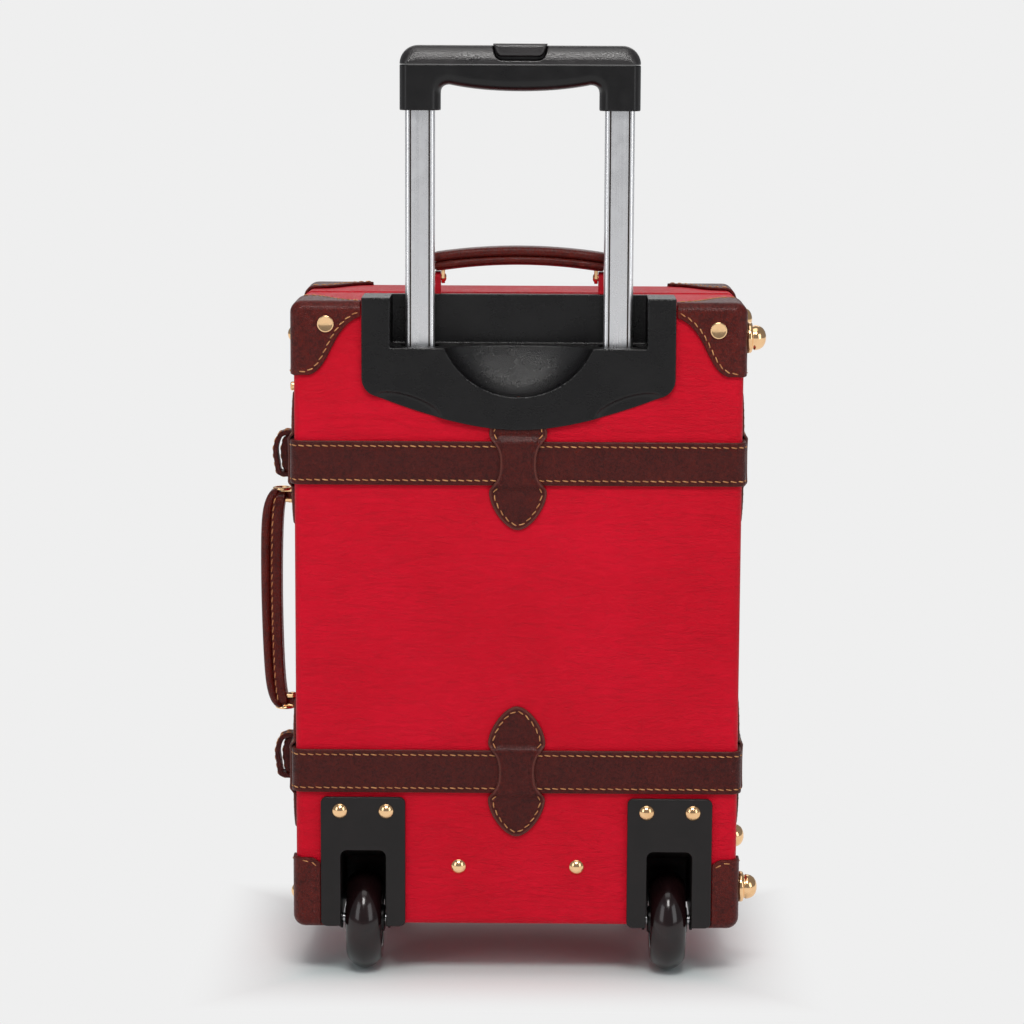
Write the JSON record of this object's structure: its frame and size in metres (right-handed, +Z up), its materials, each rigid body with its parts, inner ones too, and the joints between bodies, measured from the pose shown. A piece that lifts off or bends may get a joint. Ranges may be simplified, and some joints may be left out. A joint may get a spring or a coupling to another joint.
{
  "type": "hard shell trolley suitcase",
  "caption": "Hard shell trolley case with leather corners and belts, a telescopic handle, two wheels, carry handles and a hinged zip lid.",
  "frame": {"origin": "on the floor, under the middle of the whole object's box", "axes": "+Z up, -Y out of the back face where the telescopic handle and wheels are, +X towards the lid's hinge and side feet, -X towards the side handle and zip"},
  "size_m": [0.4074, 0.2144, 0.7515],
  "materials": {
    "red_leathercloth": "grained leathercloth over a hard shell",
    "red_tab": "red leathercloth tab",
    "corner_leather": "dark brown leather, semi-gloss, pebbled",
    "belt_leather": "dark brown belt leather with painted edges",
    "handle_leather": "dark brown handle leather, rolled and stitched",
    "black_plastic": "fine textured black moulding",
    "button_plastic": "fine textured black moulding",
    "aluminium_tube": "satin anodised",
    "steel_fittings": "plain zinc plated",
    "lining_cloth": "woven lining cloth",
    "zip_cloth": "woven zip tape",
    "gold_metal": "polished, light gold plated",
    "foot_rubber": "matte black",
    "gloss_tyre": "smooth glossy urethane",
    "hub_plastic": "glossy black"
  },
  "bodies": {
    "case_base": {"base_shell": "red_leathercloth", "base_lining": "lining_cloth", "base_zip_tape": "zip_cloth", "hinge_strip": "belt_leather", "handle_plate": "black_plastic", "tube_bracket": "steel_fittings", "base_belt_upper": "belt_leather", "back_keeper_upper": "belt_leather", "side_keeper_upper": "belt_leather", "base_belt_lower": "belt_leather", "back_keeper_lower": "belt_leather", "side_keeper_lower": "belt_leather", "base_side_foot_upper": "gold_metal", "base_side_foot_lower": "gold_metal", "base_corner_top_left": "corner_leather", "base_corner_bottom_left": "corner_leather", "wheel_housing_left": "black_plastic", "axle_left": "steel_fittings", "outer_tube_left": "steel_fittings", "top_handle_tab_left": "red_tab", "base_corner_top_right": "corner_leather", "base_corner_bottom_right": "corner_leather", "wheel_housing_right": "black_plastic", "axle_right": "steel_fittings", "outer_tube_right": "steel_fittings", "top_handle_tab_right": "red_tab", "side_handle_tab_upper": "handle_leather", "side_handle_tab_lower": "handle_leather"},
    "lid": {"lid_belt_upper": "belt_leather", "lid_belt_lower": "belt_leather", "lid_side_foot_upper": "gold_metal", "lid_side_foot_lower": "gold_metal", "lid_corner_top_left": "corner_leather", "lid_corner_bottom_left": "corner_leather", "stand_foot_left": "foot_rubber", "lid_corner_top_right": "corner_leather", "lid_corner_bottom_right": "corner_leather", "stand_foot_right": "foot_rubber", "lid_shell": "red_leathercloth", "lid_lining": "lining_cloth", "lid_zip_tape": "zip_cloth"},
    "handle_lower_stage": {"middle_tube_left": "aluminium_tube", "middle_tube_right": "aluminium_tube"},
    "handle_upper_stage": {"upper_tube_left": "aluminium_tube", "upper_tube_right": "aluminium_tube", "grip_lower_shell": "black_plastic", "grip_upper_shell": "black_plastic"},
    "grip_button": {"grip_button": "button_plastic"},
    "wheel_left": {"tyre_left": "gloss_tyre", "hub_left": "hub_plastic"},
    "wheel_right": {"tyre_right": "gloss_tyre", "hub_right": "hub_plastic"},
    "top_handle": {"top_handle": "handle_leather"},
    "side_handle": {"side_handle": "handle_leather"},
    "strap_upper": {"strap_upper": "belt_leather"},
    "strap_lower": {"strap_lower": "belt_leather"},
    "zip_slider_upper": {"zip_slider_upper": "gold_metal"},
    "zip_slider_lower": {"zip_slider_lower": "gold_metal"},
    "zip_pull_upper": {"zip_pull_upper": "gold_metal"},
    "zip_pull_lower": {"zip_pull_lower": "gold_metal"}
  },
  "joints": [
    {"name": "lid_hinge", "type": "hinge", "parent": "case_base", "child": "lid", "pos_m": [0.1866, 0.02185, 0.296], "axis": [0, 0, -1], "range_deg": [0, 110]},
    {"name": "handle_lower_slide", "type": "slide", "parent": "case_base", "child": "handle_lower_stage", "axis": [0, 0, 1], "range_m": [0, 0.215]},
    {"name": "handle_upper_slide", "type": "slide", "parent": "handle_lower_stage", "child": "handle_upper_stage", "axis": [0, 0, 1], "range_m": [-0.185, 0.03]},
    {"name": "grip_button_press", "type": "slide", "parent": "handle_upper_stage", "child": "grip_button", "axis": [0, 0, -1], "range_m": [0, 0.0025], "stiffness_N_per_m": 600},
    {"name": "wheel_left_spin", "type": "hinge", "parent": "case_base", "child": "wheel_left", "pos_m": [-0.11615, -0.06615, 0.041], "axis": [1, 0, 0], "continuous": true},
    {"name": "wheel_right_spin", "type": "hinge", "parent": "case_base", "child": "wheel_right", "pos_m": [0.13125, -0.06615, 0.041], "axis": [1, 0, 0], "continuous": true},
    {"name": "top_handle_swing", "type": "hinge", "parent": "case_base", "child": "top_handle", "pos_m": [0.00755, -0.02215, 0.564], "axis": [1, 0, 0], "range_deg": [-60, 60]},
    {"name": "side_handle_swing", "type": "hinge", "parent": "case_base", "child": "side_handle", "pos_m": [-0.17845, -0.02215, 0.2995], "axis": [0, 0, 1], "range_deg": [-55, 55]},
    {"name": "strap_upper_lift", "type": "hinge", "parent": "lid", "child": "strap_upper", "pos_m": [-0.17245, 0.05385, 0.4223], "axis": [0, 0, -1], "range_deg": [0, 95]},
    {"name": "strap_lower_lift", "type": "hinge", "parent": "lid", "child": "strap_lower", "pos_m": [-0.17245, 0.05385, 0.172], "axis": [0, 0, -1], "range_deg": [0, 95]},
    {"name": "zip_upper_run", "type": "slide", "parent": "case_base", "child": "zip_slider_upper", "axis": [0, 0, 1], "range_m": [0, 0.055]},
    {"name": "zip_upper_pull", "type": "hinge", "parent": "zip_slider_upper", "child": "zip_pull_upper", "pos_m": [-0.17515, 0.02185, 0.468], "axis": [0, 1, 0], "range_deg": [0, 120]},
    {"name": "zip_lower_run", "type": "slide", "parent": "case_base", "child": "zip_slider_lower", "axis": [0, 0, 1], "range_m": [0, 0.15]},
    {"name": "zip_lower_pull", "type": "hinge", "parent": "zip_slider_lower", "child": "zip_pull_lower", "pos_m": [-0.17515, 0.02185, 0.2177], "axis": [0, 1, 0], "range_deg": [0, 120]}
  ]
}
